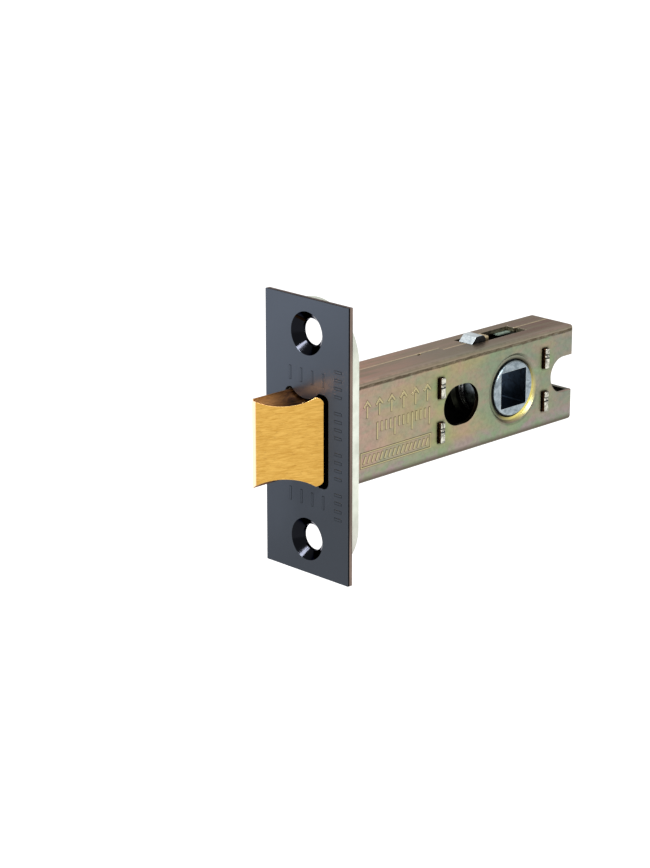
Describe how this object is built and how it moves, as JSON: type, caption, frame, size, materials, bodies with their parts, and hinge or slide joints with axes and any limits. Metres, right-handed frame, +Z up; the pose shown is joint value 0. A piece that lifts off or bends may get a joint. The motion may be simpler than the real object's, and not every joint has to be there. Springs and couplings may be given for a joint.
{
  "type": "tubular door latch",
  "caption": "Spring latch for the edge of a door: a bevelled brass bolt in a fore-end plate, drawn back along a narrow folded case by a sprung follower with a square hole",
  "frame": {"origin": "centre of the fore-end face plate's front face, midway between its two screw holes", "axes": "+X runs from the face plate back along the case into the door, so the bolt points along -X; +Z is up along the fore-end; the follower turns about Y"},
  "size_m": [0.0873, 0.024, 0.0586],
  "materials": {
    "black_plate": "satin blue-black plating",
    "back_plate": "dull zinc-plated steel",
    "yellow_zinc": "yellow-passivated zinc plate with a rainbow tint",
    "brass": "finely brushed brass",
    "rivet_steel": "bright steel",
    "spring_steel": "oiled spring wire",
    "cast_zinc": "as-cast zinc alloy"
  },
  "bodies": {
    "case": {"face_plate": "black_plate", "mounting_plate": "back_plate", "case_near_shell": "yellow_zinc", "case_far_shell": "yellow_zinc", "front_bulkhead": "yellow_zinc", "rear_bulkhead": "yellow_zinc", "bolt_spring": "spring_steel"},
    "follower": {"follower": "cast_zinc", "follower_spring_near": "spring_steel", "follower_spring_far": "spring_steel"},
    "retractor": {"retractor": "cast_zinc", "retractor_clip": "yellow_zinc"},
    "bolt": {"latch_bolt": "brass", "tail_strap": "yellow_zinc", "tail_rivet_front": "rivet_steel", "tail_rivet_rear": "rivet_steel"}
  },
  "joints": [
    {"name": "follower_turn", "type": "hinge", "parent": "case", "child": "follower", "pos_m": [0.057, 0, 0], "axis": [0, 1, 0], "range_deg": [0, 65], "stiffness_Nm_per_rad": 0.25, "springref_deg": -20.05},
    {"name": "retractor_slide", "type": "slide", "parent": "case", "child": "retractor", "axis": [1, 0, 0], "range_m": [0, 0.0104]},
    {"name": "bolt_push", "type": "slide", "parent": "retractor", "child": "bolt", "axis": [1, 0, 0], "range_m": [0, 0.0104], "stiffness_N_per_m": 250, "springref_m": -0.004, "deforming": ["bolt_spring"]}
  ],
  "couplings": [
    {"joint": "follower_turn", "follows": "retractor_slide", "rad_per_m": 109.08}
  ]
}
